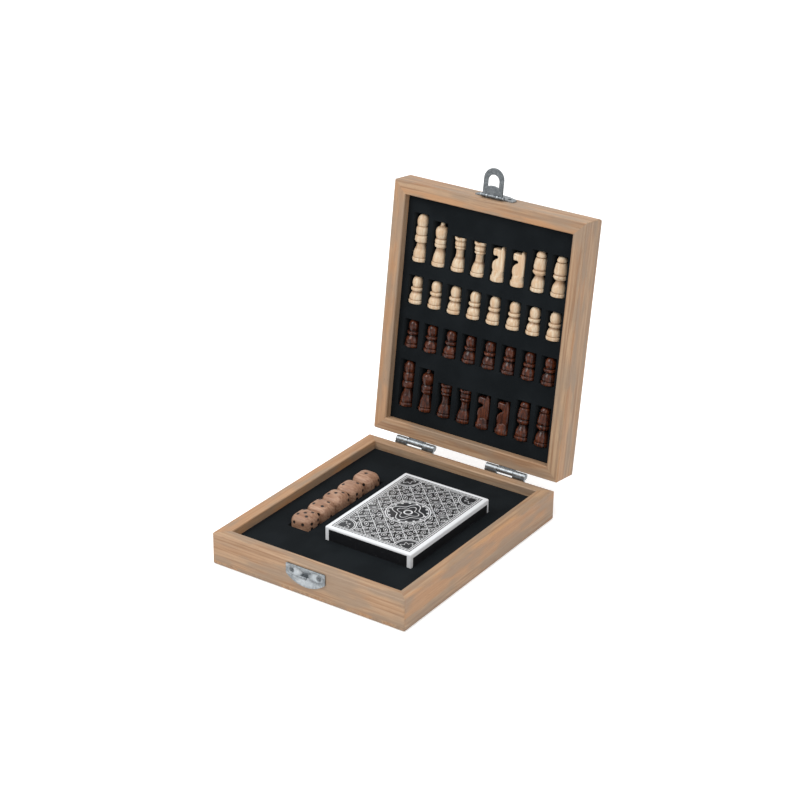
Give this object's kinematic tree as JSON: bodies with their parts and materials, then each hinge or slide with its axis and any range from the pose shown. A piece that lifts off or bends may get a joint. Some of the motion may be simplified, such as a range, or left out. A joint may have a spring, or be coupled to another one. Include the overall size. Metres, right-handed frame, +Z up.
{
  "type": "games compendium box",
  "caption": "Hinged wooden travel box with foam trays for a card deck, dice and turned chess pieces, closed by a hasp and catch.",
  "frame": {"origin": "centre of the base's flat underside", "axes": "+X along the hinge line from left to right seen from the latch side, -Y towards the latch side, +Z up"},
  "size_m": [0.148, 0.2278, 0.2219],
  "materials": {
    "case_wood": "satin",
    "foam": "matte",
    "steel": "satin",
    "carton": "satin",
    "cards": "satin",
    "dice_wood": "satin",
    "light_wood": "satin",
    "dark_wood": "gloss"
  },
  "bodies": {
    "base": {"base_front_rail": "case_wood", "base_back_rail": "case_wood", "base_left_rail": "case_wood", "base_right_rail": "case_wood", "base_panel": "case_wood", "base_foam": "foam", "catch_plate": "steel", "base_screws": "steel", "base_hinge_leaves": "steel", "hinge_pins": "steel"},
    "lid": {"lid_front_rail": "case_wood", "lid_back_rail": "case_wood", "lid_left_rail": "case_wood", "lid_right_rail": "case_wood", "lid_panel": "case_wood", "lid_foam": "foam", "hasp_plate": "steel", "hasp_pin": "steel", "lid_screws": "steel", "lid_hinge_leaves": "steel"},
    "hasp_loop": {"hasp_loop": "steel"},
    "card_deck": {"tuck_box": "carton", "playing_cards": "cards"},
    "die_1": {"die_1": "dice_wood"},
    "die_2": {"die_2": "dice_wood"},
    "die_3": {"die_3": "dice_wood"},
    "die_4": {"die_4": "dice_wood"},
    "die_5": {"die_5": "dice_wood"},
    "light_king": {"light_king": "light_wood"},
    "light_queen": {"light_queen": "light_wood"},
    "light_rook_1": {"light_rook_1": "light_wood"},
    "light_rook_2": {"light_rook_2": "light_wood"},
    "light_knight_1": {"light_knight_1": "light_wood"},
    "light_knight_2": {"light_knight_2": "light_wood"},
    "light_bishop_1": {"light_bishop_1": "light_wood"},
    "light_bishop_2": {"light_bishop_2": "light_wood"},
    "light_pawns": {"light_pawn_1": "light_wood", "light_pawn_2": "light_wood", "light_pawn_3": "light_wood", "light_pawn_4": "light_wood", "light_pawn_5": "light_wood", "light_pawn_6": "light_wood", "light_pawn_7": "light_wood", "light_pawn_8": "light_wood"},
    "dark_king": {"dark_king": "dark_wood"},
    "dark_queen": {"dark_queen": "dark_wood"},
    "dark_rook_1": {"dark_rook_1": "dark_wood"},
    "dark_rook_2": {"dark_rook_2": "dark_wood"},
    "dark_knight_1": {"dark_knight_1": "dark_wood"},
    "dark_knight_2": {"dark_knight_2": "dark_wood"},
    "dark_bishop_1": {"dark_bishop_1": "dark_wood"},
    "dark_bishop_2": {"dark_bishop_2": "dark_wood"},
    "dark_pawns": {"dark_pawn_1": "dark_wood", "dark_pawn_2": "dark_wood", "dark_pawn_3": "dark_wood", "dark_pawn_4": "dark_wood", "dark_pawn_5": "dark_wood", "dark_pawn_6": "dark_wood", "dark_pawn_7": "dark_wood", "dark_pawn_8": "dark_wood"}
  },
  "joints": [
    {"name": "lid_hinge", "type": "hinge", "parent": "base", "child": "lid", "pos_m": [0, 0.09165, 0.0227], "axis": [-1, 0, 0], "range_deg": [-97.5, 0]},
    {"name": "hasp_swing", "type": "hinge", "parent": "lid", "child": "hasp_loop", "pos_m": [0, 0.11983, 0.20302], "axis": [-1, 0, 0], "range_deg": [-90, 85]},
    {"name": "deck_lift", "type": "slide", "parent": "base", "child": "card_deck", "axis": [0, 0, 1], "range_m": [0, 0.03]},
    {"name": "die_1_lift", "type": "slide", "parent": "base", "child": "die_1", "axis": [0, 0, 1], "range_m": [0, 0.03]},
    {"name": "die_2_lift", "type": "slide", "parent": "base", "child": "die_2", "axis": [0, 0, 1], "range_m": [0, 0.03]},
    {"name": "die_3_lift", "type": "slide", "parent": "base", "child": "die_3", "axis": [0, 0, 1], "range_m": [0, 0.03]},
    {"name": "die_4_lift", "type": "slide", "parent": "base", "child": "die_4", "axis": [0, 0, 1], "range_m": [0, 0.03]},
    {"name": "die_5_lift", "type": "slide", "parent": "base", "child": "die_5", "axis": [0, 0, 1], "range_m": [0, 0.03]},
    {"name": "light_king_lift", "type": "slide", "parent": "lid", "child": "light_king", "axis": [0, -0.9914, 0.1305], "range_m": [0, 0.02]},
    {"name": "light_queen_lift", "type": "slide", "parent": "lid", "child": "light_queen", "axis": [0, -0.9914, 0.1305], "range_m": [0, 0.02]},
    {"name": "light_rook_1_lift", "type": "slide", "parent": "lid", "child": "light_rook_1", "axis": [0, -0.9914, 0.1305], "range_m": [0, 0.02]},
    {"name": "light_rook_2_lift", "type": "slide", "parent": "lid", "child": "light_rook_2", "axis": [0, -0.9914, 0.1305], "range_m": [0, 0.02]},
    {"name": "light_knight_1_lift", "type": "slide", "parent": "lid", "child": "light_knight_1", "axis": [0, -0.9914, 0.1305], "range_m": [0, 0.02]},
    {"name": "light_knight_2_lift", "type": "slide", "parent": "lid", "child": "light_knight_2", "axis": [0, -0.9914, 0.1305], "range_m": [0, 0.02]},
    {"name": "light_bishop_1_lift", "type": "slide", "parent": "lid", "child": "light_bishop_1", "axis": [0, -0.9914, 0.1305], "range_m": [0, 0.02]},
    {"name": "light_bishop_2_lift", "type": "slide", "parent": "lid", "child": "light_bishop_2", "axis": [0, -0.9914, 0.1305], "range_m": [0, 0.02]},
    {"name": "light_pawns_lift", "type": "slide", "parent": "lid", "child": "light_pawns", "axis": [0, -0.9914, 0.1305], "range_m": [0, 0.02]},
    {"name": "dark_king_lift", "type": "slide", "parent": "lid", "child": "dark_king", "axis": [0, -0.9914, 0.1305], "range_m": [0, 0.02]},
    {"name": "dark_queen_lift", "type": "slide", "parent": "lid", "child": "dark_queen", "axis": [0, -0.9914, 0.1305], "range_m": [0, 0.02]},
    {"name": "dark_rook_1_lift", "type": "slide", "parent": "lid", "child": "dark_rook_1", "axis": [0, -0.9914, 0.1305], "range_m": [0, 0.02]},
    {"name": "dark_rook_2_lift", "type": "slide", "parent": "lid", "child": "dark_rook_2", "axis": [0, -0.9914, 0.1305], "range_m": [0, 0.02]},
    {"name": "dark_knight_1_lift", "type": "slide", "parent": "lid", "child": "dark_knight_1", "axis": [0, -0.9914, 0.1305], "range_m": [0, 0.02]},
    {"name": "dark_knight_2_lift", "type": "slide", "parent": "lid", "child": "dark_knight_2", "axis": [0, -0.9914, 0.1305], "range_m": [0, 0.02]},
    {"name": "dark_bishop_1_lift", "type": "slide", "parent": "lid", "child": "dark_bishop_1", "axis": [0, -0.9914, 0.1305], "range_m": [0, 0.02]},
    {"name": "dark_bishop_2_lift", "type": "slide", "parent": "lid", "child": "dark_bishop_2", "axis": [0, -0.9914, 0.1305], "range_m": [0, 0.02]},
    {"name": "dark_pawns_lift", "type": "slide", "parent": "lid", "child": "dark_pawns", "axis": [0, -0.9914, 0.1305], "range_m": [0, 0.02]}
  ]
}
